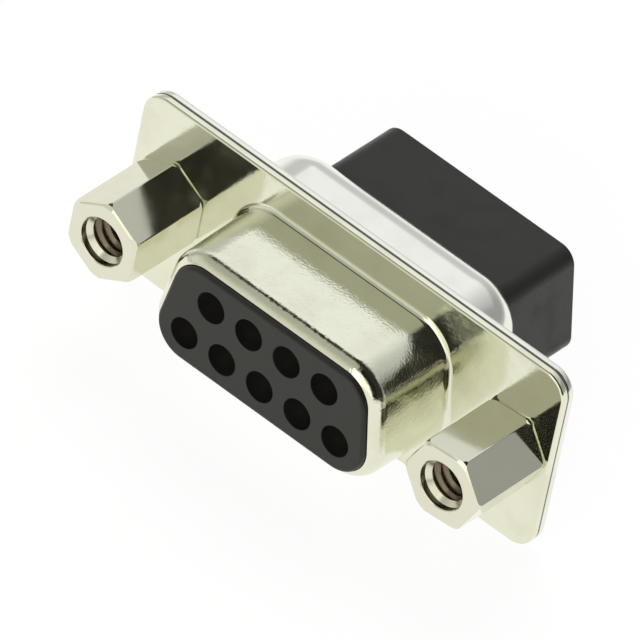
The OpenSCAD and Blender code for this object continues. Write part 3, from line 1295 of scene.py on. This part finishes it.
@dataclass
class Studio:
    """Pale floor, a soft surround with a dark opening in front, two lamps and the camera.

    Angles are in degrees; the aim, the distance and the lens are in millimetres.
    """

    azimuth: float = 33.527
    elevation: float = 41.165
    roll: float = 12.049
    distance: float = 971.72
    lens: float = 1002.07
    aim: tuple[float, float, float] = (-0.7086, -0.6130, -0.1368)
    floor_radius: float = 3.0
    floor_gap: float = 0.00002
    floor_level: float = 1.05
    lamps: tuple[Lamp, ...] = (Lamp("broad_lamp", (-0.22, 0.30, 0.42), 0.3, 1.0),
                               Lamp("front_lamp", (0.30, -0.52, 0.28), 0.12, 0.9))

    def camera(self) -> None:
        """Places the camera."""
        az, el, roll = (math.radians(a) for a in (self.azimuth, self.elevation, self.roll))
        back = Vector((math.sin(az) * math.cos(el), -math.cos(az) * math.cos(el), math.sin(el)))
        level = Vector((math.cos(az), math.sin(az), 0.0))
        up = back.cross(level)
        right = level * math.cos(roll) + up * math.sin(roll)
        top = up * math.cos(roll) - level * math.sin(roll)
        data = bpy.data.cameras.new("camera")
        data.lens = self.lens
        data.sensor_width = 36.0
        data.clip_start = 0.05
        data.clip_end = 50.0
        camera = bpy.data.objects.new("camera", data)
        bpy.context.scene.collection.objects.link(camera)
        turn = Matrix((right, top, back)).transposed()
        place = (Vector(self.aim) + back * self.distance) * MM
        camera.matrix_world = Matrix.Translation(place) @ turn.to_4x4()
        bpy.context.scene.camera = camera

    def floor(self) -> None:
        """Lays the floor: white to the eye, dimmer in reflections far off, and with a painted
        shadow under the connector that shows in reflections.
        """
        leave_edit_mode()
        bpy.ops.object.select_all(action="DESELECT")
        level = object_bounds()[0][2] - self.floor_gap
        bpy.ops.mesh.primitive_circle_add(vertices=96, radius=self.floor_radius,
                                          fill_type="NGON", location=(0.0, 0.0, level))
        floor = bpy.context.object
        floor.name = "studio_floor"
        made, graph = new_material("floor_white")
        path = graph.node("ShaderNodeLightPath").outputs
        glossy = path["Is Glossy Ray"]
        seen = graph.math("MAXIMUM", path["Is Camera Ray"], glossy)
        seen = graph.math("MAXIMUM", seen, path["Is Transmission Ray"])
        x, y, _ = graph.axes(graph.coords())
        far = graph.ramp(graph.mul(graph.add(x, y), -0.7), 0.06, 0.14)
        # painted shadow: an ellipse under the connector in which the floor's reflections are
        # dimmed
        across = graph.math("DIVIDE", x, 0.016)
        along = graph.math("DIVIDE", graph.sub(y, 0.006), 0.006)
        painted_shadow = graph.add(graph.mul(across, across), graph.mul(along, along))
        painted_shadow = graph.ramp(painted_shadow, 0.4, 1.5, 1.0, 0.0)
        dimmed = graph.mul(glossy, graph.add(graph.mul(far, 0.55), graph.mul(painted_shadow, 0.3)))
        matt = graph.node("ShaderNodeBsdfDiffuse", Color=rgba((0.9, 0.9, 0.89)))
        white = graph.node("ShaderNodeEmission", Strength=graph.sub(self.floor_level, dimmed),
                           Color=graph.blend(glossy, (1.0, 1.0, 1.0), (0.99, 0.985, 0.93)))
        mixed = graph.node("ShaderNodeMixShader", i0=graph.mul(seen, 0.88),
                           i1=matt.outputs[0], i2=white.outputs[0])
        graph.node("ShaderNodeOutputMaterial", Surface=mixed.outputs[0])
        floor.data.materials.append(made)
        floor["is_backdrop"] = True

    def surround(self) -> None:
        """Paints the surround: bright behind, dim in front, with a dark slit between them."""
        world = bpy.data.worlds.new("surround")
        bpy.context.scene.world = world
        world.use_nodes = True
        graph = Graph(world.node_tree)
        x, y, z = graph.axes(graph.coords("Generated"))
        # Behind: dimmer to the right, in a low band and at the horizon.
        band = graph.sub(graph.ramp(z, 0.0, 0.2), graph.ramp(z, 0.48, 0.66))
        back = graph.sub(1.0, graph.mul(graph.ramp(x, -0.35, 0.45), 0.43))
        back = graph.mul(back, graph.sub(1.0, graph.mul(band, 0.38)))
        back = graph.mul(back, graph.ramp(z, 0.0, 0.1, 0.86, 1.0))
        # In front: a soft light on the left, and one straight ahead.
        left = graph.mul(graph.ramp(x, -0.12, 0.06, 1.0, 0.0),
                         graph.ramp(z, 0.2, 0.75, 0.78, 0.48))
        glow = graph.mul(graph.ramp(y, -0.76, -0.68, 1.0, 0.0), graph.ramp(x, -0.3, -0.15))
        front = graph.add(graph.add(0.015, left), graph.mul(glow, 1.3))
        # The slit runs over the top, wider to the right.
        half = graph.ramp(x, -0.45, 0.1, 0.07, 0.24)
        behind = graph.ramp(graph.sub(y, half), 0.0, 0.16)
        before = graph.ramp(graph.add(y, half), -0.16, 0.0, 1.0, 0.0)
        between = graph.sub(graph.sub(1.0, behind), before)
        level = graph.add(graph.mul(back, behind), graph.mul(front, before))
        level = graph.add(level, graph.mul(between, graph.ramp(x, -0.8, -0.5, 0.5, 0.03)))
        above = graph.ramp(z, -0.06, -0.02)
        level = graph.add(graph.mul(level, above), graph.mul(0.95, graph.sub(1.0, above)))
        seen = graph.node("ShaderNodeLightPath").outputs["Is Camera Ray"]
        tint = graph.blend(behind, (0.97, 0.97, 0.85), (1.0, 1.012, 0.995))
        light = graph.node("ShaderNodeBackground", Strength=graph.math("MAXIMUM", level, seen),
                           Color=graph.blend(seen, tint, (1.0, 1.0, 1.0)))
        graph.node("ShaderNodeOutputWorld", Surface=light.outputs[0])

    def build(self) -> None:
        """Sets the whole studio up."""
        self.camera()
        self.floor()
        self.surround()
        for lamp in self.lamps:
            lamp.hang()
        bpy.context.scene.view_settings.view_transform = "Standard"


def main() -> None:
    """Builds the connector's pieces in order, then the studio."""
    logging.basicConfig(level=logging.INFO, format="%(name)s: %(message)s")
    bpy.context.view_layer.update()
    effects = Effects()
    nickel = MetalFinish("bright_nickel", (0.81, 0.815, 0.69), (0.74, 0.735, 0.60), 0.085,
                         grain=6500.0, waves=900.0, wave_share=0.55, bump=0.6, scratch=0.08,
                         drawn_gain=5.0)
    tin = MetalFinish("satin_tin", (0.87, 0.875, 0.83), (0.82, 0.825, 0.77), 0.16,
                      grain=9000.0, bump=0.4, smudge=0.03, scratch=0.0)
    black = MouldedFinish("moulded_black", (0.0145, 0.0145, 0.0135), (0.023, 0.023, 0.0215),
                          (0.022, 0.022, 0.021), 0.36)
    gold = MetalFinish("contact_gold", (0.93, 0.70, 0.32), (0.80, 0.56, 0.24), 0.18)
    copper = MetalFinish("clip_copper", (0.82, 0.58, 0.36), (0.66, 0.42, 0.25), 0.28)
    FrontShell(nickel.material(effects)).build()
    RearShell(tin.material(effects)).build()
    insulators = Insulators(black.material(effects))
    insulators.front()
    insulators.rear()
    for side, turn in ((Side.LEFT, 30.0), (Side.RIGHT, 5.0)):
        cad = CadBox.of(f"jackpost_{side.value}")
        # the second colour is the bore's brownish tone, darkened with painted shade
        post = TurnedFinish(f"post_nickel_{side.value}", cad.middle.x * MM,
                            (0.765, 0.755, 0.635), (0.20, 0.165, 0.12), 0.10,
                            bore_radius=0.00146, bore_depth=(cad.low.y + 0.85) * MM)
        Jackpost(side, turn, post.material(effects)).build()
    ContactSet(gold.material(effects), copper.material(effects)).dress()
    Studio().build()


if __name__ == "__main__":
    main()
